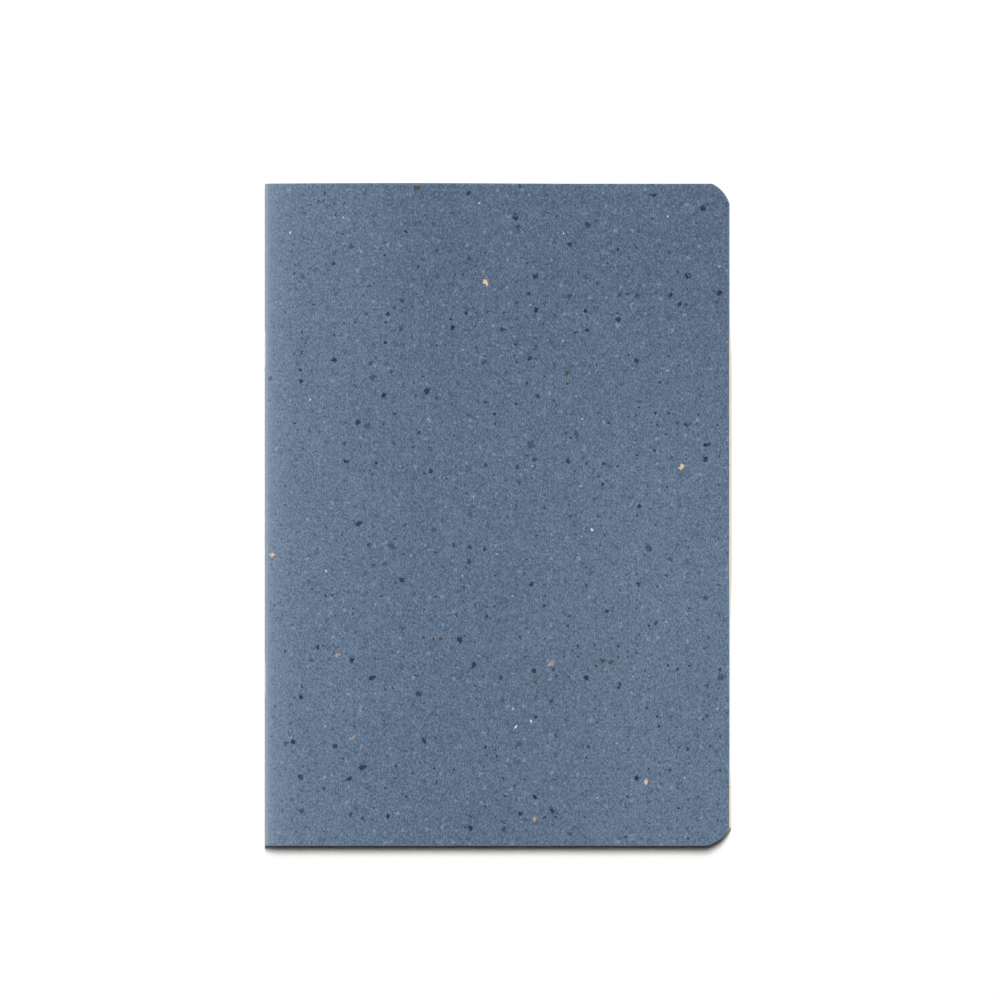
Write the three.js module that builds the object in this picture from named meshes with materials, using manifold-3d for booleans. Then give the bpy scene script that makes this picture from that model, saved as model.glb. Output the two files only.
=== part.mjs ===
// A5 notepad: sixteen sheets and a thick paper cover, folded together and held by two staples in the fold.
// Millimetres. The notepad lies closed with its front cover up: +X runs from the spine to the fore-edge,
// +Y to the head, +Z up. The origin is the middle of the underside.

import * as THREE from "three";
import { mergeVertices } from "three/addons/utils/BufferGeometryUtils.js";
import Module from "manifold-3d";

const wasm = await Module();
wasm.setup();

// Trimmed size
const coverWidth = 147; // spine to fore-edge
const pageHeight = 210; // tail to head
const creep = 0.7; // how far the innermost sheet stands out past the cover at the fore-edge

// Paper
const sheetCount = 16;
const paper = 0.1;
const board = 0.5;
const air = 0.025; // between neighbouring sheets, and between the outermost sheet and the cover

// Fold
const creaseFromSpine = 6.3; // where the cover leaves its rounded fold and runs flat
const foldSteps = 18; // facets round each fold

// Die-cut corners at the fore-edge. Each is an arc, given by its radius and by the distances of its centre
// from the fore-edge and from the end.
const headCorner = { radius: 10.6, fromForeEdge: 10.1, fromEnd: 9.5 };
const tailCorner = { radius: 10.9, fromForeEdge: 9.8, fromEnd: 10.6 };
const cornerSteps = 5; // half the facets along each corner

// Staples
const wire = 0.4; // diameter
const wireFit = 0.04; // running clearance round the wire, wherever it passes through or lies in paper
const clinchFit = 0.05; // between the clinched wire and each of the two middle leaves
const stapleSpacing = 105; // centre to centre, along the spine
const crownLength = 12; // between the centre lines of the two legs
const crownProud = 0.05; // how far the crown still stands out of the spine
const bendRadius = 0.6; // at the centre line of each bend
const clinchGap = 2; // between the ends of the two bent legs
const clinchSeat = 0.45; // from the crotch of the innermost fold to the clinched wire's centre line
const wireSides = 8;
const wireSteps = 72;
const holeSides = 12;

// Stack: distances from the mid-plane, where the fold and the staples lie.
// The clinched wire holds the two middle leaves apart.
const wireRadius = wire / 2;
const centreGap = wire + 2 * clinchFit;
const pitch = paper + air;
const coverInner = centreGap / 2 + sheetCount * pitch;
const coverOuter = coverInner + board;
const midHeight = coverOuter;

// Ends of the stack along X
const spineX = crownProud - (crownProud + coverWidth + creep) / 2;
const coverForeEdge = spineX + coverWidth;

// Every face of the folded stack follows one family of half-ellipses, nested round the middle of the fold:
// the face that lies a distance b from the mid-plane ends at foldTip(b) and runs flat from foldCentre(b) on
const foldStretch = creaseFromSpine / coverOuter;
const foldTip = (b) => spineX + coverOuter - b;
const foldCentre = (b) => foldTip(b) + foldStretch * b;

// Materials
const coverPaper = new THREE.MeshStandardMaterial({ color: 0x697b91, roughness: 0.92, metalness: 0 });
const pagePaper = new THREE.MeshStandardMaterial({ color: 0xece6d6, roughness: 0.9, metalness: 0 });
const steel = new THREE.MeshStandardMaterial({ color: 0xb9bcc0, roughness: 0.35, metalness: 1 });

const notepad = new THREE.Group();

function add(name, geometry, material) {
  const mesh = new THREE.Mesh(geometry, material);
  mesh.name = name;
  notepad.add(mesh);
  return mesh;
}

// Solid body of a closed geometry, for cutting
function toSolid(geometry) {
  const bare = geometry.clone();
  bare.deleteAttribute("normal");
  bare.deleteAttribute("uv");
  const welded = mergeVertices(bare);
  const mesh = new wasm.Mesh({
    numProp: 3,
    vertProperties: new Float32Array(welded.attributes.position.array),
    triVerts: new Uint32Array(welded.index.array),
  });
  return new wasm.Manifold(mesh);
}

// Geometry of a solid body
function toGeometry(solid) {
  const mesh = solid.getMesh();
  const geometry = new THREE.BufferGeometry();
  geometry.setAttribute("position", new THREE.BufferAttribute(mesh.vertProperties, mesh.numProp));
  geometry.setIndex(new THREE.BufferAttribute(mesh.triVerts, 1));
  geometry.computeVertexNormals();
  return geometry;
}

// Flat leaf or cover board seen from above: square at the fold, die-cut corners at the fore-edge
function leafOutline(creaseX, foreEdge) {
  const end = pageHeight / 2;
  const outline = new THREE.Shape();
  outline.moveTo(creaseX, end);
  outline.lineTo(creaseX, -end);
  outline.absarc(
    foreEdge - tailCorner.fromForeEdge, tailCorner.fromEnd - end, tailCorner.radius,
    -endAngle(tailCorner), -foreEdgeAngle(tailCorner), false,
  );
  outline.absarc(
    foreEdge - headCorner.fromForeEdge, end - headCorner.fromEnd, headCorner.radius,
    foreEdgeAngle(headCorner), endAngle(headCorner), false,
  );
  outline.closePath();
  return outline;
}

// How far a corner's arc has turned where it meets the fore-edge, and where it meets the end of the page
function foreEdgeAngle({ radius, fromForeEdge }) {
  return Math.acos(fromForeEdge / radius);
}

function endAngle({ radius, fromEnd }) {
  return Math.asin(fromEnd / radius);
}

// Flat plate between two heights
function leaf(creaseX, foreEdge, bottom, top) {
  const outline = leafOutline(creaseX, foreEdge);
  const plate = new THREE.ExtrudeGeometry(outline, {
    depth: top - bottom,
    bevelEnabled: false,
    curveSegments: cornerSteps,
  });
  plate.translate(0, 0, bottom);
  return plate;
}

// Strip of paper that runs round the fold, between the faces at distances inner and outer from the mid-plane.
// Its section is drawn round the mid-plane and then stood up along the spine.
function foldStrip(inner, outer) {
  const crease = foldCentre(outer);
  const section = new THREE.Shape();
  section.moveTo(crease, outer);
  section.absellipse(crease, 0, foldStretch * outer, outer, Math.PI / 2, (3 * Math.PI) / 2, false, 0);
  section.lineTo(crease, -inner);
  section.absellipse(
    foldCentre(inner), 0, foldStretch * inner, inner, (3 * Math.PI) / 2, Math.PI / 2, true, 0,
  );
  section.lineTo(crease, inner);
  section.closePath();
  const strip = new THREE.ExtrudeGeometry(section, {
    depth: pageHeight,
    bevelEnabled: false,
    curveSegments: foldSteps / 2,
  });
  strip.rotateX(Math.PI / 2);
  strip.translate(0, pageHeight / 2, midHeight);
  return strip;
}

// Staple: centre lines of the crown, of the legs and of the clinched ends
const crownX = spineX - crownProud + wireRadius;
const clinchX = foldTip(centreGap / 2) + clinchSeat;
const legY = crownLength / 2;
const stapleCentres = { staple_head: stapleSpacing / 2, staple_tail: -stapleSpacing / 2 };

// Wire bent to a closed staple: in from one clinched end, round the crown, and back to the other
function stapleWire(centreY) {
  const route = new THREE.CurvePath();
  const corner = (x, y, fromX, fromY, toX, toY) =>
    new THREE.QuadraticBezierCurve3(
      new THREE.Vector3(x + fromX * bendRadius, y + fromY * bendRadius, 0),
      new THREE.Vector3(x, y, 0),
      new THREE.Vector3(x + toX * bendRadius, y + toY * bendRadius, 0),
    );
  const bends = [
    corner(clinchX, legY, 0, -1, -1, 0),
    corner(crownX, legY, 1, 0, 0, -1),
    corner(crownX, -legY, 0, 1, 1, 0),
    corner(clinchX, -legY, -1, 0, 0, 1),
  ];
  let from = new THREE.Vector3(clinchX, clinchGap / 2, 0);
  for (const bend of bends) {
    route.add(new THREE.LineCurve3(from, bend.v0));
    route.add(bend);
    from = bend.v2;
  }
  route.add(new THREE.LineCurve3(from, new THREE.Vector3(clinchX, -clinchGap / 2, 0)));

  const section = new THREE.Shape();
  section.absarc(0, 0, wireRadius, 0, 2 * Math.PI, false);
  const staple = new THREE.ExtrudeGeometry(section, {
    steps: wireSteps,
    curveSegments: wireSides / 2,
    bevelEnabled: false,
    extrudePath: route,
  });
  staple.translate(0, centreY, midHeight);
  return staple;
}

// Holes that the legs have pierced through every fold, as one set of cutters
function legHoles() {
  const outside = crownX - wireRadius - wireFit;
  const inside = clinchX + wireRadius + wireFit;
  const holes = [];
  for (const centreY of Object.values(stapleCentres)) {
    for (const side of [-1, 1]) {
      const hole = new THREE.CylinderGeometry(
        wireRadius + wireFit, wireRadius + wireFit, inside - outside, holeSides,
      );
      hole.rotateZ(Math.PI / 2);
      hole.translate((outside + inside) / 2, centreY + side * legY, midHeight);
      holes.push(toSolid(hole));
    }
  }
  return holes;
}

// Grooves that the crowns have pressed into the cover
function crownGrooves() {
  const width = wire + 2 * wireFit;
  const outside = crownX - wireRadius - wireFit;
  const inside = crownX + wireRadius + wireFit;
  return Object.values(stapleCentres).map((centreY) => {
    const groove = new THREE.BoxGeometry(inside - outside, crownLength + width, width);
    groove.translate((outside + inside) / 2, centreY, midHeight);
    return toSolid(groove);
  });
}

function cut(geometry, cutters) {
  return toGeometry(cutters.reduce((solid, cutter) => solid.subtract(cutter), toSolid(geometry)));
}

// Cover
const holes = legHoles();
const coverCrease = foldCentre(coverOuter);
add("back_cover", leaf(coverCrease, coverForeEdge, 0, board), coverPaper);
add("cover_spine", cut(foldStrip(coverInner, coverOuter), [...holes, ...crownGrooves()]), coverPaper);
add(
  "front_cover",
  leaf(coverCrease, coverForeEdge, midHeight + coverInner, midHeight + coverOuter),
  coverPaper,
);

// Sheets, from the outermost, 01, to the innermost: each is two leaves joined by its fold
for (let sheet = 1; sheet <= sheetCount; sheet++) {
  const name = `sheet_${String(sheet).padStart(2, "0")}`;
  const outer = coverInner - air - (sheet - 1) * pitch;
  const inner = outer - paper;
  const crease = foldCentre(outer);
  const foreEdge = coverForeEdge + (creep * sheet) / sheetCount;
  add(`${name}_rear_leaf`, leaf(crease, foreEdge, midHeight - outer, midHeight - inner), pagePaper);
  add(`${name}_fold`, cut(foldStrip(inner, outer), holes), pagePaper);
  add(`${name}_front_leaf`, leaf(crease, foreEdge, midHeight + inner, midHeight + outer), pagePaper);
}

// Staples
for (const [name, centreY] of Object.entries(stapleCentres)) {
  add(name, stapleWire(centreY), steel);
}

export default notepad;
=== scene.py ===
"""An A5 notepad with a soft cover of flecked recycled card, closed on a white table.

It is seen from straight above. Metres, in the part's own frame: +X from the spine to the fore-edge,
+Y to the head, +Z up.
Every half sheet is one thin closed mesh that runs from the fold to the fore-edge.
"""

import math
import random

import bmesh
import bpy
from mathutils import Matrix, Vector, noise


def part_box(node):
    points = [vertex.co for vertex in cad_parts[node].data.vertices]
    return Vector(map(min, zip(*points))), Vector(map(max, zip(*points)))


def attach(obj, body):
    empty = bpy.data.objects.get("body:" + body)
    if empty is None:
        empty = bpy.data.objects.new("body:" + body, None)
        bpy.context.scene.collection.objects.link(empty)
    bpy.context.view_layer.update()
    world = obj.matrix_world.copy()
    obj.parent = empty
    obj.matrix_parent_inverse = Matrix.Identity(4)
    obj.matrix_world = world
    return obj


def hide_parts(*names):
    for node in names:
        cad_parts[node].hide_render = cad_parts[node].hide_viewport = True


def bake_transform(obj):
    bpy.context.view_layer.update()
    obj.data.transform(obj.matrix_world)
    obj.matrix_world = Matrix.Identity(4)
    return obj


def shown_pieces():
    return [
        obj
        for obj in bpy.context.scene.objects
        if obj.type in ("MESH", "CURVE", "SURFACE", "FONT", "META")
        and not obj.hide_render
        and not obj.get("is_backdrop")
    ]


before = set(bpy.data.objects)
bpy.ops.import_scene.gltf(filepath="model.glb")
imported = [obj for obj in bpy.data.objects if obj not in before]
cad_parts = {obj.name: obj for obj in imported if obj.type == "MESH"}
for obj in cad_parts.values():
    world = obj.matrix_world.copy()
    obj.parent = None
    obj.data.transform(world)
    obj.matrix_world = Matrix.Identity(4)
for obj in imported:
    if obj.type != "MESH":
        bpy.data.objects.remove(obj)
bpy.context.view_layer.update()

MM = 0.001
SHEETS = 16

# Sizes read from the frame
SPINE_LOW, SPINE_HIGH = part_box("cover_spine")
_, BOARD_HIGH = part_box("front_cover")
MID_HEIGHT = (SPINE_LOW.z + SPINE_HIGH.z) / 2
TOP = SPINE_HIGH.z
SPINE_X = SPINE_LOW.x
CREASE_X = SPINE_HIGH.x
COVER_EDGE_X = BOARD_HIGH.x
END_Y = BOARD_HIGH.y
FOLD_STRETCH = (CREASE_X - SPINE_X) / (TOP - MID_HEIGHT)

# Die-cut corners: radius, and the centre's distance from the fore-edge and from the end
HEAD_CORNER = (10.6 * MM, 10.1 * MM, 9.5 * MM)
TAIL_CORNER = (10.9 * MM, 9.8 * MM, 10.6 * MM)

# The photograph, in its pixels: its width, the notepad's height, and where the spine and the head lie
PHOTO_WIDTH = 1000.0
PHOTO_COVER_HEIGHT = 662.5
PHOTO_SPINE = 264.6
PHOTO_HEAD = 183.55


def smoothstep(low, high, value):
    t = min(max((value - low) / (high - low), 0.0), 1.0)
    return t * t * (3 - 2 * t)


def bump(value, centre, width):
    """A smooth hump, 1 at its centre and 0 from half its width on."""
    return 1 - smoothstep(0, width / 2, abs(value - centre))


def add_object(name, data):
    obj = bpy.data.objects.new(name, data)
    bpy.context.collection.objects.link(obj)
    return obj


def shade_smooth(mesh):
    """Shade a mesh smooth, apart from its edges sharper than 50 degrees."""
    mesh.polygons.foreach_set("use_smooth", [True] * len(mesh.polygons))
    mesh.set_sharp_from_angle(angle=math.radians(50))


def middle_y(node):
    low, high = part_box(node)
    return (low.y + high.y) / 2


# Paper: the folded halves of the sheets and the cover

HINGE_STEPS = 9  # stations across the part of the paper that bends at a hinge
CORNER_ZONE = 12 * MM  # the closer stations round the corners start this far from the fore-edge
CORNER_STEPS = 12
BEND_ANGLE = math.radians(50)  # how far round its quarter turn a fold has done most of its bending
ROW_GAP = 0.1 * MM  # rows that lie closer than this are merged


def fold_tip(away):
    """X of the fold's tip, in the face that lies this far from the mid-plane."""
    return SPINE_X + (TOP - MID_HEIGHT) - away


def fold_point(away, turn):
    """Point on a fold's half-ellipse, turned from the tip at 0 to the crease at a quarter turn."""
    centre = fold_tip(away) + FOLD_STRETCH * away
    return centre - FOLD_STRETCH * away * math.cos(turn), away * math.sin(turn)


class Band:
    """One half of a folded sheet or cover.

    Its faces lie at the distances inner and outer from the mid-plane of the stack.
    """

    def __init__(self, node, side):
        low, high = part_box(node)
        self.side = side
        self.inner = min(abs(low.z - MID_HEIGHT), abs(high.z - MID_HEIGHT))
        self.outer = max(abs(low.z - MID_HEIGHT), abs(high.z - MID_HEIGHT))
        self.crease = low.x
        self.fore_edge = high.x
        self.middle = (self.inner + self.outer) / 2

    def start(self):
        return (fold_tip(self.middle), 0, MID_HEIGHT)

    def bend_end(self):
        """Where the fold has done most of its turning, which is close behind its tip."""
        x, away = fold_point(self.middle, BEND_ANGLE)
        return (x, 0, MID_HEIGHT + self.side * away)


def corner_limit(x, fore_edge, corner):
    """How far a die-cut corner pulls the end of the page in from its square end, at one x."""
    radius, from_edge, from_end = corner
    across = x - (fore_edge - from_edge)
    reach = math.sqrt(max(radius * radius - from_end * from_end, 0))
    if across <= reach:
        return 0.0
    return from_end - math.sqrt(max(radius * radius - across * across, 0))


def fold_stations(band, steps):
    """Stations from the tip to just before the crease, and the way along the paper to the crease.

    A station is the way along the paper, the outer face's x and distance from the mid-plane, and the
    inner face's.
    """
    stations = []
    along = 0.0
    last = None
    for k in range(steps):
        turn = math.pi / 2 * k / steps
        middle = fold_point(band.middle, turn)
        if last is not None:
            along += math.dist(middle, last)
        last = middle
        stations.append((along, fold_point(band.outer, turn), fold_point(band.inner, turn)))
    return stations, along + math.dist(last, (band.crease, band.middle))


def flat_stations(band, along, coarse, rim, hinge=0.0):
    """Stations from the crease to the fore-edge.

    They are closest together round the corners and, on a piece with a hinge, where the paper bends at it,
    which is as far as `hinge` from the crease.
    """
    width = band.fore_edge - band.crease
    if hinge:
        places = [hinge * k / HINGE_STEPS for k in range(HINGE_STEPS)]
        places += [hinge, hinge + 0.8 * MM, hinge + 2 * MM, hinge + 4 * MM]
    else:
        places = [0.0, 1 * MM, 3 * MM]
    corner_start = width - CORNER_ZONE
    count = max(2, round((corner_start - places[-1]) / coarse))
    places += [places[-1] + (corner_start - places[-1]) * (k + 1) / count for k in range(count)]
    reaches = [c[1] - math.sqrt(c[0] ** 2 - c[2] ** 2) for c in (HEAD_CORNER, TAIL_CORNER)]
    curve = [reaches[1] * (1 - math.sin(math.pi / 2 * k / CORNER_STEPS)) for k in range(CORNER_STEPS)]
    distances = sorted(curve + [reaches[0], 9 * MM, 0.7 * MM, 0.4 * MM, 0.2 * MM, rim], reverse=True)
    places += [width - d for d in distances if d >= rim]
    return [
        (along + p, (band.crease + p, band.outer), (band.crease + p, band.inner)) for p in places
    ]


def rows(coarse, rim, extra=()):
    """Distances from the tail end to the head end."""
    height = 2 * END_Y
    near = [rim, 0.2 * MM, 0.4 * MM, 0.7 * MM, 1.2 * MM, 2 * MM, 3.5 * MM, 6 * MM]
    count = round((height - 2 * near[-1]) / coarse)
    middle = [near[-1] + (height - 2 * near[-1]) * k / count for k in range(1, count)]
    every = sorted(near + middle + [height - d for d in near] + list(extra))
    kept = [every[0]]
    for d in every[1:]:
        if d - kept[-1] > ROW_GAP:
            kept.append(d)
    return kept


def rim_distance(x, y, fore_edge):
    """How far a point of the paper lies from its cut outline."""
    distance = min(fore_edge - x, END_Y - abs(y))
    radius, from_edge, from_end = HEAD_CORNER if y > 0 else TAIL_CORNER
    across = x - (fore_edge - from_edge)
    up = abs(y) - (END_Y - from_end)
    if across > 0 and up > 0:
        distance = min(distance, radius - math.hypot(across, up))
    return max(distance, 0.0)


def paper_mesh(name, band, stations, row_list, rim, warp, map_offset=0.0, to_edge=True):
    """Closed mesh of one half sheet, with chamfered rims and the attributes that its material reads.

    Without `to_edge` it ends where the next piece of the cover begins, and not at the fore-edge.
    """
    thick = band.outer - band.inner
    verts, maps, rims = [], [], []
    height = 2 * END_Y

    def place(along, x, away, y, depth):
        dx, dy, dz = warp(x, y, away, depth / thick)
        verts.append((x + dx, y + dy, MID_HEIGHT + band.side * away + dz))
        maps.append((band.side * along + map_offset, y, depth))
        rims.append(rim_distance(x, y, band.fore_edge))
        return len(verts) - 1

    def limits(x):
        tail = corner_limit(x, band.fore_edge, TAIL_CORNER)
        head = corner_limit(x, band.fore_edge, HEAD_CORNER)
        return -END_Y + tail, END_Y - head

    grids = {"outer": [], "inner": []}
    for along, outer, inner in stations:
        for key, (x, away) in (("outer", outer), ("inner", inner)):
            low, high = limits(x)
            depth = thick if key == "outer" else 0.0
            column = []
            for d in row_list:
                y = low + (high - low) * (d / height)
                y = min(max(y, low + rim), high - rim)
                column.append(place(along, x, away, y, depth))
            grids[key].append(column)

    # the cut edge, from the tail end of the first station round to its head end
    last, top = len(stations) - 1, len(row_list) - 1
    loop = [(i, 0) for i in range(last + 1)]
    if to_edge:
        loop += [(last, j) for j in range(1, top)]
    loop += [(i, top) for i in range(last, -1, -1)]
    cut = []
    for i, j in loop:
        along, outer, inner = stations[i]
        ring = []
        for share in (rim / thick, 1 - rim / thick):
            x = outer[0] + (inner[0] - outer[0]) * share
            away = outer[1] + (inner[1] - outer[1]) * share
            on_edge = to_edge and i == last
            if on_edge:
                x = band.fore_edge
            low, high = limits(x)
            if j == 0:
                y = low
            elif j == top:
                y = high
            else:
                y = low + (high - low) * row_list[j] / height
            ring.append(place(along + (rim if on_edge else 0), x, away, y, thick * (1 - share)))
        cut.append((grids["outer"][i][j], *ring, grids["inner"][i][j]))

    faces = []
    for columns in grids.values():
        for a, b in zip(columns, columns[1:]):
            for j in range(top):
                faces.append((a[j], b[j], b[j + 1], a[j + 1]))
    for at, (a, b) in enumerate(zip(cut, cut[1:])):
        if to_edge or at != last:
            for k in range(3):
                faces.append((a[k], b[k], b[k + 1], a[k + 1]))

    # the ends that meet the other half of the sheet, or the next piece of the cover
    def close_end(i):
        tail_ring, head_ring = (ring for ring, at in zip(cut, loop) if at in ((i, 0), (i, top)))
        outer_side = [tail_ring[1]] + grids["outer"][i] + [head_ring[1]]
        inner_side = [tail_ring[2]] + grids["inner"][i] + [head_ring[2]]
        for k in range(len(outer_side) - 1):
            faces.append((outer_side[k], outer_side[k + 1], inner_side[k + 1], inner_side[k]))

    close_end(0)
    if not to_edge:
        close_end(last)

    mesh = bpy.data.meshes.new(name)
    mesh.from_pydata(verts, [], faces)
    shaped = bmesh.new()
    shaped.from_mesh(mesh)
    bmesh.ops.recalc_face_normals(shaped, faces=shaped.faces)
    shaped.to_mesh(mesh)
    shaped.free()
    mesh.attributes.new("paper_map", "FLOAT_VECTOR", "POINT").data.foreach_set(
        "vector", [c for m in maps for c in m]
    )
    mesh.attributes.new("rim", "FLOAT", "POINT").data.foreach_set("value", rims)
    shade_smooth(mesh)
    mesh.update()
    return add_object(name, mesh)


# Node helpers


class Nodes:
    """Short calls for building a material's or world's nodes. An input is a socket or a plain value."""

    def __init__(self, owner, output="ShaderNodeOutputMaterial"):
        self.owner = owner
        self.owner.use_nodes = True
        self.tree = self.owner.node_tree
        self.tree.nodes.clear()
        self.output = self.tree.nodes.new(output)

    def feed(self, node, key, value):
        if isinstance(value, bpy.types.NodeSocket):
            self.tree.links.new(value, node.inputs[key])
        elif value is not None:
            node.inputs[key].default_value = value

    def attribute(self, name, output):
        node = self.tree.nodes.new("ShaderNodeAttribute")
        node.attribute_name = name
        return node.outputs[output]

    def math(self, operation, a, b=None, c=None):
        node = self.tree.nodes.new("ShaderNodeMath")
        node.operation = operation
        for key, value in enumerate((a, b, c)):
            self.feed(node, key, value)
        return node.outputs[0]

    def vector(self, operation, a, b=None, scale=None):
        node = self.tree.nodes.new("ShaderNodeVectorMath")
        node.operation = operation
        self.feed(node, 0, a)
        self.feed(node, 1, b)
        self.feed(node, "Scale", scale)
        return node.outputs[0]

    def spread(self, value, low, high, to_low=0.0, to_high=1.0, way="SMOOTHSTEP"):
        """The value from low to high, spread over to_low to to_high and held there beyond."""
        node = self.tree.nodes.new("ShaderNodeMapRange")
        node.interpolation_type = way
        for key, number in enumerate((value, low, high, to_low, to_high)):
            self.feed(node, key, number)
        return node.outputs[0]

    def ramp(self, value, low, high, to_low=0.0, to_high=1.0):
        """As spread, but straight in place of eased at both ends."""
        return self.spread(value, low, high, to_low, to_high, "LINEAR")

    def noise(self, vector, scale, detail=2.0, roughness=0.5, distortion=0.0, output=0):
        node = self.tree.nodes.new("ShaderNodeTexNoise")
        self.feed(node, "Vector", vector)
        for key, value in (
            ("Scale", scale),
            ("Detail", detail),
            ("Roughness", roughness),
            ("Distortion", distortion),
        ):
            self.feed(node, key, value)
        return node.outputs[output]

    def cells(self, vector, scale):
        """Distance to the nearest scattered point, and that point's random colour."""
        node = self.tree.nodes.new("ShaderNodeTexVoronoi")
        node.voronoi_dimensions = "2D"
        self.feed(node, "Vector", vector)
        self.feed(node, "Scale", scale)
        return node.outputs["Distance"], node.outputs["Color"]

    def parts(self, vector):
        node = self.tree.nodes.new("ShaderNodeSeparateXYZ")
        self.feed(node, 0, vector)
        return node.outputs

    def mix(self, factor, a, b):
        node = self.tree.nodes.new("ShaderNodeMix")
        node.data_type = "RGBA"
        self.feed(node, 0, factor)
        self.feed(node, 6, a)
        self.feed(node, 7, b)
        return node.outputs[2]

    def stain(self, colour, mask, strength, towards):
        """The colour, mixed towards another by the mask times the strength."""
        return self.mix(self.math("MULTIPLY", mask, strength), colour, towards)

    def bump(self, height, strength, distance):
        node = self.tree.nodes.new("ShaderNodeBump")
        self.feed(node, "Height", height)
        self.feed(node, "Strength", strength)
        self.feed(node, "Distance", distance)
        return node.outputs[0]

    def seen_directly(self):
        """1 for what the camera sees, also in a reflection or through glass, and 0 for other light."""
        rays = self.tree.nodes.new("ShaderNodeLightPath").outputs
        seen = self.math("MAXIMUM", rays["Is Camera Ray"], rays["Is Glossy Ray"])
        return self.math("MAXIMUM", seen, rays["Is Transmission Ray"])

    def surface(self, **inputs):
        node = self.tree.nodes.new("ShaderNodeBsdfPrincipled")
        for key, value in inputs.items():
            self.feed(node, key.replace("_", " "), value)
        self.tree.links.new(node.outputs[0], self.output.inputs[0])
        return self.owner


def linear(red, green, blue):
    """Linear colour of an 8-bit screen colour."""
    values = []
    for c in (red, green, blue):
        c /= 255
        values.append(c / 12.92 if c <= 0.04045 else ((c + 0.055) / 1.055) ** 2.4)
    return (*values, 1.0)


# Materials


def flecks(n, place, cell, share, small, large, soft, ragged=0.0):
    """Mask of scattered flecks, and a random number for each.

    There is one in `share` of the cells, with a radius from small to large and a rim of twice `soft`.
    Its outline wanders by up to about `ragged`.
    """
    distance, colour = n.cells(place, 1 / cell)
    chance = n.parts(colour)
    present = n.math("LESS_THAN", chance[0], share)
    radius = n.ramp(chance[1], 0.0, 1.0, small / cell, large / cell)
    inside = n.math("SUBTRACT", radius, distance)
    if ragged:
        outline = n.math("SUBTRACT", n.noise(place, 1 / (0.6 * MM), 3.0, 0.6), 0.5)
        inside = n.math("MULTIPLY_ADD", outline, 4 * ragged / cell, inside)
    mask = n.spread(inside, -soft / cell, soft / cell)
    return n.math("MULTIPLY", mask, present), chance[2]


def shifted(n, place, share):
    """The same pattern from elsewhere, so that layers of flecks don't fall together."""
    return n.vector("ADD", place, (share, share * 0.6, 0))


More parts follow.
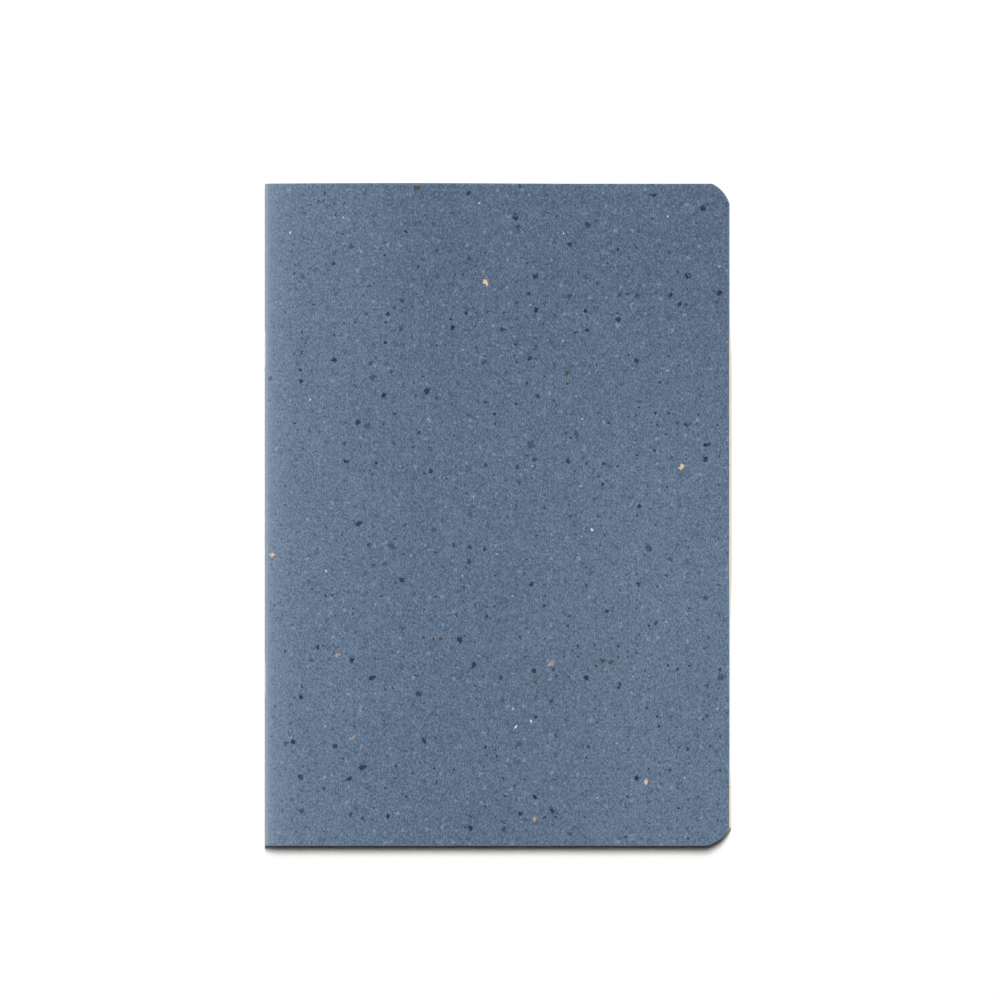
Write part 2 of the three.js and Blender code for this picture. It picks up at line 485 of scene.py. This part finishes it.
def cover_paper():
    """Thick recycled card: blue pulp with an upright grain, dark plant flecks, pale fibres, worn rims."""
    n = Nodes(bpy.data.materials.new("cover_paper"))
    place = n.attribute("paper_map", "Vector")
    rim = n.attribute("rim", "Fac")

    grain_place = n.vector("MULTIPLY", place, (1.0, 0.52, 1.0))
    grain = n.noise(grain_place, 1 / (0.42 * MM), 3.0, 0.8)
    tufts = n.noise(grain_place, 1 / (1.25 * MM), 3.0, 0.6)
    clouds = n.noise(place, 1 / (22 * MM), 3.0, 0.55)
    mottle = n.noise(place, 1 / (3.4 * MM), 3.0, 0.6)

    wander = n.noise(place, 1 / (0.8 * MM), 2.0, 0.6, output=1)
    wander = n.vector("SUBTRACT", wander, (0.5, 0.5, 0.5))
    bent = n.vector("ADD", place, n.vector("SCALE", wander, scale=1.6 * MM))

    # painted light and shade in broad tones: painted shade below the head, painted light along the spine and
    # at the tail's fore-edge corner
    across, up, _ = n.parts(place)
    across = n.math("ABSOLUTE", across)
    pulp = n.mix(n.spread(clouds, 0.32, 0.68), linear(83, 103, 126), linear(88, 108, 132))
    # painted shade: darker below the head, away from the spine
    painted_shade_head = n.math("MULTIPLY", n.spread(up, 10 * MM, 100 * MM), n.spread(across, 15 * MM, 60 * MM))
    pulp = n.stain(pulp, painted_shade_head, 0.62, linear(76, 95, 119))
    # painted light: lighter over the last 56 mm towards the spine
    pulp = n.mix(n.spread(across, 56 * MM, 6 * MM, 0.0, 0.52), pulp, linear(108, 128, 153))
    # painted light: lighter towards the tail and the fore-edge
    painted_light_tail = n.math("MULTIPLY", n.spread(up, 70 * MM, -20 * MM), n.spread(across, 70 * MM, 130 * MM))
    pulp = n.stain(pulp, painted_light_tail, 0.4, linear(108, 128, 151))

    # grain
    pulp = n.mix(n.ramp(mottle, 0.5, 0.25, 0.0, 0.22), pulp, linear(60, 78, 102))
    pulp = n.mix(n.ramp(mottle, 0.5, 0.8, 0.0, 0.26), pulp, linear(138, 157, 180))
    pulp = n.mix(n.ramp(tufts, 0.5, 0.2, 0.0, 0.12), pulp, linear(54, 72, 96))
    pulp = n.mix(n.ramp(tufts, 0.5, 0.8, 0.0, 0.2), pulp, linear(146, 165, 188))
    low = n.ramp(grain, 0.5, 0.28, 0.0, 1.0)
    pulp = n.stain(pulp, low, 0.88, linear(48, 68, 94))
    high = n.ramp(grain, 0.5, 0.74, 0.0, 1.0)
    pulp = n.stain(pulp, high, 0.76, linear(150, 169, 192))

    # pale fibres: thin winding ridges of a stretched noise, kept only here and there
    fibre_place = n.vector("MULTIPLY", bent, (1.0, 0.45, 1.0))
    ridge = n.noise(fibre_place, 1 / (3.0 * MM), 1.0, 0.4, 1.2)
    ridge = n.math("ABSOLUTE", n.math("SUBTRACT", ridge, 0.5))
    kept = n.spread(n.noise(place, 1 / (5 * MM), 1.0), 0.54, 0.64)
    fibre = n.math("MULTIPLY", n.spread(ridge, 0.012, 0.002), kept)
    pulp = n.stain(pulp, fibre, 0.4, linear(160, 176, 194))

    # plant flecks, from many fine and faint ones to few coarse ones
    teal, brown = linear(10, 26, 44), linear(50, 40, 38)
    fine, _ = flecks(n, bent, 1.7 * MM, 0.4, 0.06 * MM, 0.24 * MM, 0.10 * MM)
    faint, _ = flecks(
        n, shifted(n, bent, 0.31), 3.0 * MM, 0.42, 0.10 * MM, 0.7 * MM, 0.24 * MM, ragged=0.35 * MM,
    )
    small, small_tint = flecks(
        n, shifted(n, bent, 0.57), 3.2 * MM, 0.42, 0.08 * MM, 0.40 * MM, 0.10 * MM, ragged=0.25 * MM,
    )
    coarse, coarse_tint = flecks(
        n, shifted(n, bent, 0.73), 5.3 * MM, 0.2, 0.1 * MM, 0.9 * MM, 0.14 * MM, ragged=0.55 * MM,
    )
    shreds = n.noise(shifted(n, bent, 0.9), 1 / (1.5 * MM), 4.0, 0.62)
    pulp = n.mix(n.spread(shreds, 0.66, 0.72, 0.0, 0.7), pulp, linear(44, 60, 83))
    pulp = n.stain(pulp, fine, 0.68, linear(38, 58, 82))
    pulp = n.stain(pulp, faint, 0.42, linear(44, 64, 88))
    small_strength = n.ramp(small_tint, 0.0, 0.7, 0.4, 0.95)
    small_colour = n.mix(n.spread(small_tint, 0.86, 0.88), teal, brown)
    pulp = n.stain(pulp, small, small_strength, small_colour)
    coarse_colour = n.mix(n.spread(coarse_tint, 0.97, 0.99), teal, linear(74, 72, 68))
    coarse_colour = n.mix(n.spread(tufts, 0.5, 0.75), coarse_colour, linear(50, 66, 87))
    coarse_strength = n.ramp(coarse_tint, 0.0, 0.7, 0.45, 0.97)
    pulp = n.stain(pulp, coarse, coarse_strength, coarse_colour)

    # small pale and tan chips
    scuff, _ = flecks(
        n, shifted(n, bent, 0.43), 4.3 * MM, 0.38, 0.1 * MM, 0.54 * MM, 0.14 * MM, ragged=0.35 * MM,
    )
    pulp = n.stain(pulp, scuff, 0.42, linear(156, 176, 196))
    chip, chip_tint = flecks(n, shifted(n, bent, 0.11), 5.4 * MM, 0.16, 0.05 * MM, 0.3 * MM, 0.09 * MM)
    chip_colour = n.mix(n.spread(chip_tint, 0.76, 0.84), linear(212, 221, 228), linear(200, 180, 156))
    chip_strength = n.ramp(chip_tint, 0.0, 0.76, 0.25, 0.9)
    pulp = n.stain(pulp, chip, chip_strength, chip_colour)

    # the fold is rubbed pale and also carries a painted highlight where the cover rounds over it; the cut
    # rims are rubbed pale
    rub = n.noise(place, 1 / (1.1 * MM), 3.0, 0.65)
    fold = n.math("POWER", n.ramp(across, 4.8 * MM, 0.2 * MM, 0.0, 1.0), 2.4)
    fold = n.math("MULTIPLY", fold, n.ramp(rub, 0.1, 0.9, 0.7, 1.3))
    fold = n.math("ADD", n.math("MULTIPLY", fold, 0.75), n.spread(across, 13 * MM, 1.5 * MM, 0.0, 0.14))
    fold = n.math("ADD", fold, n.spread(across, 2.2 * MM, 0.7 * MM, 0.0, 0.2))
    # painted highlight and real rubbing along the fold, lighter towards the spine
    pulp = n.mix(n.math("MINIMUM", fold, 0.9), pulp, linear(172, 188, 206))
    worn = n.spread(rim, 0.8 * MM, 0.0)
    worn = n.math("MULTIPLY", worn, n.spread(rub, 0.3, 0.7, 0.2, 1.0))
    pulp = n.stain(pulp, worn, 0.3, linear(150, 166, 184))

    relief = n.math("ADD", n.math("MULTIPLY", grain, 0.6), n.math("MULTIPLY", mottle, 0.6))
    relief = n.math("ADD", relief, n.math("MULTIPLY", fibre, 0.25))
    relief = n.math("SUBTRACT", relief, n.math("MULTIPLY", coarse, 0.3))
    normal = n.bump(relief, 0.5, 0.05 * MM)
    return n.surface(
        Base_Color=pulp,
        Roughness=n.spread(mottle, 0.3, 0.7, 0.78, 0.92),
        Specular_IOR_Level=0.35,
        Normal=normal,
    )


def page_paper():
    """Uncoated cream paper with a faint cloudy formation and fine fibres."""
    n = Nodes(bpy.data.materials.new("page_paper"))
    place = n.attribute("paper_map", "Vector")
    rim = n.attribute("rim", "Fac")
    clouds = n.noise(place, 1 / (6 * MM), 4.0, 0.6)
    grain = n.noise(n.vector("MULTIPLY", place, (1.0, 0.6, 1.0)), 1 / (0.35 * MM), 2.0, 0.6)
    cream = n.mix(clouds, linear(239, 235, 219), linear(244, 241, 228))
    cream = n.mix(n.spread(grain, 0.3, 0.8, 0.0, 0.35), cream, linear(226, 219, 199))
    speck, _ = flecks(n, place, 7 * MM, 0.12, 0.05 * MM, 0.14 * MM, 0.05 * MM)
    cream = n.stain(cream, speck, 0.5, linear(176, 160, 132))
    # painted light: the leaves are lighter within 0.6 mm of their cut rims
    cream = n.mix(n.spread(rim, 0.6 * MM, 0.0, 0.0, 0.5), cream, linear(248, 245, 232))
    normal = n.bump(n.math("ADD", grain, clouds), 0.35, 0.02 * MM)
    return n.surface(
        Base_Color=cream,
        Roughness=n.spread(clouds, 0.3, 0.7, 0.82, 0.92),
        Specular_IOR_Level=0.3,
        Normal=normal,
    )


def staple_steel():
    """Galvanised wire with faint draw marks along it."""
    n = Nodes(bpy.data.materials.new("staple_steel"))
    place = n.attribute("wire_map", "Vector")
    marks = n.noise(n.vector("MULTIPLY", place, (1.0, 1.0, 0.04)), 1 / (0.06 * MM), 3.0, 0.6)
    dull = n.noise(place, 1 / (1.4 * MM), 3.0, 0.6)
    colour = n.mix(dull, linear(178, 181, 186), linear(206, 208, 211))
    return n.surface(
        Base_Color=colour,
        Metallic=1.0,
        Roughness=n.spread(dull, 0.3, 0.7, 0.28, 0.46),
        Normal=n.bump(marks, 0.3, 0.01 * MM),
    )


def husk(name, dark, pale):
    """A flake of husk, lighter and darker in patches."""
    n = Nodes(bpy.data.materials.new(name))
    place = n.attribute("paper_map", "Vector")
    patch = n.noise(place, 1 / (0.5 * MM), 3.0, 0.6)
    return n.surface(
        Base_Color=n.mix(n.spread(patch, 0.3, 0.7), dark, pale),
        Roughness=n.spread(patch, 0.3, 0.7, 0.7, 0.9),
        Specular_IOR_Level=0.35,
        Normal=n.bump(patch, 0.4, 0.02 * MM),
    )


COVER = cover_paper()
PAGE = page_paper()
STEEL = staple_steel()
TAN_HUSK = husk("tan_husk", linear(196, 164, 136), linear(242, 216, 188))
NAVY_HUSK = husk("navy_husk", linear(12, 27, 46), linear(46, 63, 84))
BROWN_HUSK = husk("brown_husk", linear(44, 44, 50), linear(92, 86, 84))
SAND_HUSK = husk("sand_husk", linear(128, 120, 120), linear(198, 178, 162))
PALE_HUSK = husk("pale_husk", linear(196, 200, 206), linear(240, 238, 234))
RUST_HUSK = husk("rust_husk", linear(58, 42, 36), linear(110, 76, 56))
SLATE_HUSK = husk("slate_husk", linear(40, 60, 84), linear(74, 94, 118))


# Cover

RIM = 0.05 * MM  # chamfer along the cut edges
ROUND_OVER = 0.9 * MM  # how far in from the cut edges the outer face starts to round over
ROUND_DROP = 0.2 * MM
WAVE = 0.14 * MM
HEAD_BOW = 0.22 * MM  # how far the head edge bows out
EDGE_PROUD = 0.3 * MM  # how far the fore-edge stands out
COVER_FOLD_STEPS = 22
COVER_STEP = 2.5 * MM
COVER_ROW = 2.2 * MM
HINGE_REACH = 1.8 * MM

# Dents of the staples' crowns in the fold
STAPLE_Y = middle_y("staple_head")
CROWN_HALF = STAPLE_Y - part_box("staple_head")[0].y
DENT = 0.4 * MM
DENT_REACH = 0.5 * MM  # round the wire


def crown_dent(y, away):
    """How deep the staples' crowns have pressed into the fold: 1 under the wire, 0 clear of it."""
    along = smoothstep(CROWN_HALF + DENT_REACH, CROWN_HALF, abs(abs(y) - STAPLE_Y))
    return along * smoothstep(DENT_REACH, 0.22 * MM, abs(away))


def cover_warp(x, y, away=TOP - MID_HEIGHT, share=1.0):
    """How far a point of the cover lies from its place on a perfect one.

    The cover is cut a little uneven and lies in very shallow waves. Only its outer face, where share
    is 1, is rounded over along the rim and takes the staples' dents.
    """
    flat = smoothstep(CREASE_X + 3 * MM, CREASE_X + 25 * MM, x)
    wave = noise.noise(Vector((x * 18, y * 14, 3.7))) * 0.5 + 0.5
    reach = smoothstep(CREASE_X, COVER_EDGE_X, x)
    dx = EDGE_PROUD * reach**6 + share * DENT * crown_dent(y, away)
    head = smoothstep(END_Y - 8 * MM, END_Y, y)
    dy = head * HEAD_BOW * bump(x, SPINE_X + 43 * MM, 120 * MM)
    inside = min(rim_distance(x, y, COVER_EDGE_X) / ROUND_OVER, 1)
    return dx, dy, flat * wave * WAVE - share * ROUND_DROP * (1 - inside) ** 2


def back_warp(x, y, away, share):
    """The back cover lies flat on the table."""
    dx, dy, _ = cover_warp(x, y, away, share)
    return dx, dy, 0.0


def cover_stations(node, side):
    """Half of the cover as a band, with its stations round the fold and on the flat."""
    band = Band(node, side)
    fold, along = fold_stations(band, COVER_FOLD_STEPS)
    return band, fold, flat_stations(band, along, COVER_STEP, RIM, HINGE_REACH)


def build_cover():
    ends = (CROWN_HALF + DENT_REACH, CROWN_HALF + DENT_REACH / 2, CROWN_HALF)
    crowns = [END_Y + a * STAPLE_Y + b * d for a in (-1, 1) for b in (-1, 1) for d in ends]
    row_list = rows(COVER_ROW, RIM, crowns)

    band, fold, flat = cover_stations("front_cover", 1)
    quarter = paper_mesh("front_cover_fold", band, fold + flat[:1], row_list, RIM, cover_warp, to_edge=False)
    quarter.data.materials.append(COVER)
    band.start()
    band.bend_end()
    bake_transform(quarter)
    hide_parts("cover_spine")

    board = paper_mesh("front_cover_board", band, flat, row_list, RIM, cover_warp)
    board.data.materials.append(COVER)
    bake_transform(board)
    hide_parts("front_cover")

    band, fold, flat = cover_stations("back_cover", -1)
    back = paper_mesh("back_cover_board", band, fold + flat, row_list, RIM, back_warp)
    back.data.materials.append(COVER)
    band.start()
    band.bend_end()
    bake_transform(back)
    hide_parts("back_cover", "cover_spine")


# Pages

PAGE_RIM = 0.02 * MM
PAGE_FOLD_STEPS = 12
PAGE_STEP = 8 * MM
PAGE_ROW = 7 * MM
PAGE_DRAWN = 0.14 * MM  # how far the fore-edge is drawn in where it doesn't stand proud
PAGE_PROUD = 0.5 * MM
MIDDLE_GAP = 0.03 * MM  # what stays of the gap between the two middle leaves
PAGE_MAP_STEP = 0.4  # moves the paper's pattern from one sheet to the next

# The stretches of the fore-edge that stand proud: middle, half length at full height, half length to
# where it ends, and height as a share
PROUD_STRETCHES = ((14 * MM, 30 * MM, 52 * MM, 1.0), (-92 * MM, 5 * MM, 13 * MM, 0.65))


def leaf_height(number):
    """Height of a front leaf's inner face over the mid-plane."""
    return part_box(f"sheet_{number:02d}_front_leaf")[0].z - MID_HEIGHT


def page_shift(number, side):
    """How a leaf lies in the block: its fore-edge is drawn in unevenly, and the middle gap closes up."""
    chance = random.Random(100 * number + side)
    draw = chance.uniform(0.0, 0.06) * MM
    slant = chance.uniform(-0.05, 0.05) * MM
    gap = leaf_height(SHEETS)
    outermost = leaf_height(1)
    settle = (gap - MIDDLE_GAP) * (outermost - leaf_height(number)) / (outermost - gap)

    def warp(x, y, _away, _share):
        reach = smoothstep(CREASE_X, COVER_EDGE_X, x)
        proud = max(
            share * (1 - smoothstep(full, end, abs(y - middle)))
            for middle, full, end, share in PROUD_STRETCHES
        )
        inward = PAGE_DRAWN * (1 - proud) - PAGE_PROUD * proud + draw + slant * y / END_Y
        dz = -side * settle * smoothstep(CREASE_X, CREASE_X + 40 * MM, x)
        return -inward * reach**5, 0.0, dz

    return warp


def build_pages():
    row_list = rows(PAGE_ROW, PAGE_RIM)
    for number in range(1, SHEETS + 1):
        for half, side in (("front", 1), ("rear", -1)):
            name = f"sheet_{number:02d}_{half}"
            band = Band(f"{name}_leaf", side)
            fold, along = fold_stations(band, PAGE_FOLD_STEPS)
            stations = fold + flat_stations(band, along, PAGE_STEP, PAGE_RIM)
            warp = page_shift(number, side)
            offset = PAGE_MAP_STEP * number
            page = paper_mesh(f"{name}_page", band, stations, row_list, PAGE_RIM, warp, offset)
            page.data.materials.append(PAGE)
            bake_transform(page)
            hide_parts(f"{name}_leaf", f"sheet_{number:02d}_fold")


# Flakes of husk

FLAKE_POINTS = 18
FLAKE_LEVELS = ((-0.05 * MM, 0.9), (0.004 * MM, 1.0), (0.016 * MM, 0.8))  # height over the cover, size
FLAKE_CROWN = 0.022 * MM

# Those that stand out in the photograph, in millimetres: distance from the spine and from the head,
# length, width as a share of that, the turn of the long side from +X in degrees, and kind
FLAKES = [
    (70.2, 31.5, 2.1, 0.8, 150, TAN_HUSK),
    (132.2, 89.8, 2.1, 0.7, 60, TAN_HUSK),
    (120.9, 189.6, 1.6, 0.8, 70, TAN_HUSK),
    (2.3, 117.7, 1.6, 0.8, 160, TAN_HUSK),
    (85.0, 89.6, 0.8, 0.5, 20, TAN_HUSK),
    (90.9, 152.2, 2.4, 0.45, 40, SAND_HUSK),
    (27.7, 175.7, 3.2, 0.22, 35, SAND_HUSK),
    (85.7, 201.4, 1.7, 0.8, 70, SAND_HUSK),
    (23.1, 149.4, 1.7, 0.7, 50, SAND_HUSK),
    (66.2, 99.2, 1.2, 0.45, 80, SAND_HUSK),
    (103.8, 109.8, 1.1, 0.75, 100, PALE_HUSK),
    (79.6, 172.2, 1.2, 0.5, 60, PALE_HUSK),
    (84.5, 170.4, 1.0, 0.7, 120, PALE_HUSK),
    (55.8, 144.4, 1.3, 0.8, 10, RUST_HUSK),
    (124.1, 139.3, 1.4, 0.6, 50, RUST_HUSK),
    (10.7, 78.0, 1.0, 0.5, 0, RUST_HUSK),
    (95.9, 60.0, 1.6, 0.7, 90, BROWN_HUSK),
    (40.1, 59.6, 1.5, 0.7, 90, BROWN_HUSK),
    (48.5, 1.1, 3.0, 0.8, 165, BROWN_HUSK),
    (109.9, 151.7, 1.9, 0.8, 60, BROWN_HUSK),
    (66.3, 152.4, 2.2, 0.8, 0, NAVY_HUSK),
    (34.1, 156.6, 2.4, 0.6, 30, NAVY_HUSK),
    (8.9, 176.9, 2.0, 0.7, 60, NAVY_HUSK),
    (50.6, 176.6, 1.8, 0.8, 120, NAVY_HUSK),
    (30.8, 185.1, 2.0, 0.7, 130, NAVY_HUSK),
    (26.6, 188.8, 1.8, 0.7, 20, NAVY_HUSK),
    (39.3, 200.4, 1.6, 0.7, 60, NAVY_HUSK),
    (62.0, 144.8, 2.3, 0.7, 90, NAVY_HUSK),
    (85.3, 154.4, 1.8, 0.7, 170, NAVY_HUSK),
    (112.1, 43.2, 1.7, 0.9, 0, NAVY_HUSK),
    (117.9, 56.1, 1.6, 0.8, 30, NAVY_HUSK),
    (131.5, 38.3, 1.6, 0.8, 60, NAVY_HUSK),
    (84.0, 55.3, 2.0, 0.6, 0, NAVY_HUSK),
    (83.8, 35.0, 1.5, 0.7, 130, NAVY_HUSK),
    (64.7, 2.9, 1.6, 0.8, 0, NAVY_HUSK),
    (79.6, 11.0, 1.7, 0.8, 0, NAVY_HUSK),
    (39.1, 41.4, 1.5, 0.9, 0, NAVY_HUSK),
    (51.3, 65.8, 2.2, 0.8, 90, NAVY_HUSK),
    (29.5, 75.7, 1.8, 0.8, 120, NAVY_HUSK),
    (26.0, 88.0, 1.7, 0.8, 0, NAVY_HUSK),
    (52.7, 91.2, 1.5, 0.8, 30, NAVY_HUSK),
    (29.9, 107.7, 2.5, 0.5, 30, NAVY_HUSK),
    (84.6, 127.0, 1.6, 0.9, 0, NAVY_HUSK),
    (118.7, 102.4, 1.5, 0.8, 30, NAVY_HUSK),
    (108.5, 135.6, 1.7, 0.7, 0, NAVY_HUSK),
    (34.4, 61.3, 2.2, 0.8, 20, SLATE_HUSK),
    (84.5, 82.4, 2.8, 0.7, 80, SLATE_HUSK),
    (98.9, 79.4, 2.6, 0.4, 110, SLATE_HUSK),
    (39.9, 115.0, 2.3, 0.8, 0, SLATE_HUSK),
    (53.5, 109.7, 1.6, 0.8, 60, SLATE_HUSK),
    (121.7, 115.6, 2.1, 0.8, 0, SLATE_HUSK),
    (60.9, 136.8, 1.7, 0.6, 120, SLATE_HUSK),
]


def cover_top(x, y):
    """Height of the cover's upper face, on the flat and round the fold."""
    if x >= CREASE_X:
        return TOP + cover_warp(x, y)[2]
    back = (CREASE_X - x) / (CREASE_X - SPINE_X)
    return MID_HEIGHT + (TOP - MID_HEIGHT) * math.sqrt(max(1 - back * back, 0))


def join_loops(shaped, loops):
    """Faces between each closed loop of points and the next."""
    for a, b in zip(loops, loops[1:]):
        for k in range(len(a)):
            following = (k + 1) % len(a)
            shaped.faces.new((a[k], a[following], b[following], b[k]))


def flake(shaped, centre, length, width, turn, chance):
    """One thin closed flake with a ragged outline, sunk most of its thickness into the cover."""
    ring = []
    seed = chance.uniform(0, 50)
    for k in range(FLAKE_POINTS):
        a = math.tau * k / FLAKE_POINTS
        lobe = noise.noise(Vector((math.cos(a) * 1.3, math.sin(a) * 1.3, seed)))
        r = length * (0.5 + 0.42 * lobe + chance.uniform(-0.06, 0.06))
        x, y = r * math.cos(a), r * width * math.sin(a)
        x, y = x * math.cos(turn) - y * math.sin(turn), x * math.sin(turn) + y * math.cos(turn)
        ring.append((centre[0] + x, min(centre[1] + y, END_Y - RIM)))
    loops = []
    for rise, size in FLAKE_LEVELS:
        loop = [(centre[0] + (x - centre[0]) * size, centre[1] + (y - centre[1]) * size) for x, y in ring]
        loops.append([shaped.verts.new((x, y, cover_top(x, y) + rise)) for x, y in loop])
    crown = shaped.verts.new((*centre, cover_top(*centre) + FLAKE_CROWN))
    shaped.faces.new(list(reversed(loops[0])))
    join_loops(shaped, loops)
    for k, vert in enumerate(loops[-1]):
        shaped.faces.new((vert, loops[-1][(k + 1) % FLAKE_POINTS], crown))


def build_flakes():
    chance = random.Random(7)
    kinds = (TAN_HUSK, SAND_HUSK, PALE_HUSK, RUST_HUSK, BROWN_HUSK, NAVY_HUSK, SLATE_HUSK)
    groups = [("front_cover", material) for material in kinds]
    for body, material in groups + [("sheet_01_front", TAN_HUSK)]:
        shaped = bmesh.new()
        for from_spine, from_head, length, width, turn, kind in FLAKES:
            x, y = SPINE_X + from_spine * MM, END_Y - from_head * MM
            if kind is material and (x > CREASE_X) == (body == "front_cover"):
                flake(shaped, (x, y), length * MM, width, math.radians(turn), chance)
        mesh = bpy.data.meshes.new(f"{body}_{material.name}")
        shaped.to_mesh(mesh)
        shaped.free()
        values = [c for v in mesh.vertices for c in v.co]
        mesh.attributes.new("paper_map", "FLOAT_VECTOR", "POINT").data.foreach_set("vector", values)
        mesh.materials.append(material)
        obj = add_object(mesh.name, mesh)
        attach(obj, body)


# Staples

BEND_RADIUS = 0.6 * MM
BEND_STEPS = 8
CLINCH_END = 1 * MM  # from the middle of the staple to each end of its wire
WIRE_SIDES = 16
CUT_END = 0.8  # size of the wire's chamfered ends


def staple_path(low, high, radius):
    """Middle line of a closed staple's wire round its own centre, from one clinched end to the other."""
    leg = (high.y - low.y) / 2 - radius
    crown_x, clinch_x = low.x + radius, high.x - radius
    stops = [
        Vector((x, y, 0))
        for x, y in (
            (clinch_x, CLINCH_END),
            (clinch_x, leg),
            (crown_x, leg),
            (crown_x, -leg),
            (clinch_x, -leg),
            (clinch_x, -CLINCH_END),
        )
    ]
    path = [stops[0]]
    for last, here, following in zip(stops, stops[1:], stops[2:]):
        back = (last - here).normalized() * BEND_RADIUS
        on = (following - here).normalized() * BEND_RADIUS
        for k in range(BEND_STEPS + 1):
            t = k / BEND_STEPS
            path.append(here + back * (1 - t) ** 2 + on * t**2)
    return path + [stops[-1]]


def wire_mesh(name, path, radius, origin):
    """Round wire along a level path, with chamfered cut ends."""
    up = Vector((0, 0, 1))
    shaped = bmesh.new()
    layer = shaped.verts.layers.float_vector.new("wire_map")
    loops = []
    along = 0.0
    for k, point in enumerate(path):
        ahead = path[min(k + 1, len(path) - 1)] - path[max(k - 1, 0)]
        across = ahead.cross(up).normalized()
        if k:
            along += (point - path[k - 1]).length
        size = radius * (CUT_END if k in (0, len(path) - 1) else 1.0)
        loop = []
        for s in range(WIRE_SIDES):
            a = math.tau * s / WIRE_SIDES
            vert = shaped.verts.new(origin + point + (across * math.cos(a) + up * math.sin(a)) * size)
            vert[layer] = (radius * math.cos(a), radius * math.sin(a), along)
            loop.append(vert)
        loops.append(loop)
    join_loops(shaped, loops)
    shaped.faces.new(loops[0])
    shaped.faces.new(list(reversed(loops[-1])))
    bmesh.ops.recalc_face_normals(shaped, faces=shaped.faces)
    mesh = bpy.data.meshes.new(name)
    shaped.to_mesh(mesh)
    shaped.free()
    shade_smooth(mesh)
    return add_object(name, mesh)


def build_staples():
    for name in ("staple_head", "staple_tail"):
        low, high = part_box(name)
        radius = (high.z - low.z) / 2
        origin = Vector((0, middle_y(name), MID_HEIGHT))
        obj = wire_mesh(f"{name}_wire", staple_path(low, high, radius), radius, origin)
        obj.data.materials.append(STEEL)
        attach(obj, "binding")
        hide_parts(name)


# Stage

TABLE_HALF = 6.0
TABLE_LEVEL = -0.02 * MM  # just clear of the notepad's underside
TABLE_SEEN = 1.37  # the table's colour where the camera sees it, as white as the photograph's ground
TABLE_BOUNCE = 0.85  # its colour for all other light
CREVICE = 1.5 * MM  # reach of the deep shadow where the table and the notepad meet
WORLD_LIGHT = 0.018

# Lamps over the table: place, width, height and level
KEY = ((0.18, 4.2, 9.66), 0.9, 3.8, 0.55)
KEY_WIDE = ((0.18, 4.85, 9.35), 0.9, 8.8, 0.295)
FILL = ((-0.75, 0.1, 0.75), 0.6, 0.8, 0.24)
EDGE = ((0.9, 0.1, 0.6), 0.6, 0.8, 0.1)

CAMERA_DISTANCE = 3.0
SENSOR = 36.0  # in millimetres, as Blender has it


def build_floor():
    """White table that the camera sees as pure white, with the notepad's shadow kept."""
    mesh = bpy.data.meshes.new("table")
    corners = [(x * TABLE_HALF, y * TABLE_HALF, TABLE_LEVEL) for x, y in ((-1, -1), (1, -1), (1, 1), (-1, 1))]
    mesh.from_pydata(corners, [], [(0, 1, 2, 3)])
    floor = add_object("table", mesh)
    n = Nodes(bpy.data.materials.new("table_white"))
    seen = n.seen_directly()
    # the shadow is deepest where the table and the notepad's tail edge meet
    crevice = n.tree.nodes.new("ShaderNodeAmbientOcclusion")
    n.feed(crevice, "Distance", CREVICE)
    n.feed(crevice, "Normal", n.vector("NORMALIZE", (0.0, 1.0, 0.6)))
    open_share = n.ramp(crevice.outputs["AO"], 0.22, 0.99, 0.07, 1.0)
    white = n.vector("SCALE", (TABLE_SEEN,) * 3, scale=open_share)
    diffuse = n.tree.nodes.new("ShaderNodeBsdfDiffuse")
    n.feed(diffuse, "Color", n.mix(seen, (TABLE_BOUNCE, TABLE_BOUNCE, TABLE_BOUNCE, 1), white))
    n.tree.links.new(diffuse.outputs[0], n.output.inputs[0])
    mesh.materials.append(n.owner)
    floor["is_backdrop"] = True


def build_world():
    """White where the camera sees it, and a faint even light on everything."""
    world = bpy.data.worlds.new("studio")
    bpy.context.scene.world = world
    n = Nodes(world, "ShaderNodeOutputWorld")
    background = n.tree.nodes.new("ShaderNodeBackground")
    n.feed(background, "Strength", n.ramp(n.seen_directly(), 0.0, 1.0, WORLD_LIGHT, 1.0))
    n.feed(background, "Color", (1, 1, 1, 1))
    n.tree.links.new(background.outputs[0], n.output.inputs[0])


def area_lamp(name, place, width, height, level):
    """A soft rectangular lamp aimed at the notepad, as strong as gives `level` on a white card there."""
    place = Vector(place)
    data = bpy.data.lights.new(name, "AREA")
    data.shape = "RECTANGLE"
    data.size, data.size_y = width, height
    data.energy = level * math.pi**2 * place.length**2
    lamp = add_object(name, data)
    lamp.location = place
    lamp.rotation_mode = "QUATERNION"
    lamp.rotation_quaternion = place.to_track_quat("Z", "Y")
    return lamp


def build_lamps():
    """Two lamps on everything, and two that fill the sides of the notepad alone."""
    area_lamp("key", *KEY)
    area_lamp("key_wide", *KEY_WIDE)
    fill = area_lamp("fill", *FILL)
    edge = area_lamp("edge", *EDGE)
    lit = bpy.data.collections.new("notepad_only")
    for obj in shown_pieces():
        lit.objects.link(obj)
    for lamp in (fill, edge):
        lamp.light_linking.receiver_collection = lit


def build_camera():
    """Straight above, through a long lens, framed as in the photograph."""
    pixel = 2 * END_Y / PHOTO_COVER_HEIGHT
    centre_x = SPINE_X + (PHOTO_WIDTH / 2 - PHOTO_SPINE) * pixel
    centre_y = END_Y - (PHOTO_WIDTH / 2 - PHOTO_HEAD) * pixel
    data = bpy.data.cameras.new("camera")
    data.sensor_width = SENSOR
    data.lens = SENSOR * CAMERA_DISTANCE / (PHOTO_WIDTH * pixel)
    data.clip_end = 20
    camera = add_object("camera", data)
    camera.location = (centre_x, centre_y, TOP + CAMERA_DISTANCE)
    bpy.context.scene.camera = camera


build_cover()
build_pages()
build_flakes()
build_staples()
build_floor()
build_world()
build_lamps()
build_camera()
bpy.context.scene.view_settings.view_transform = "Standard"
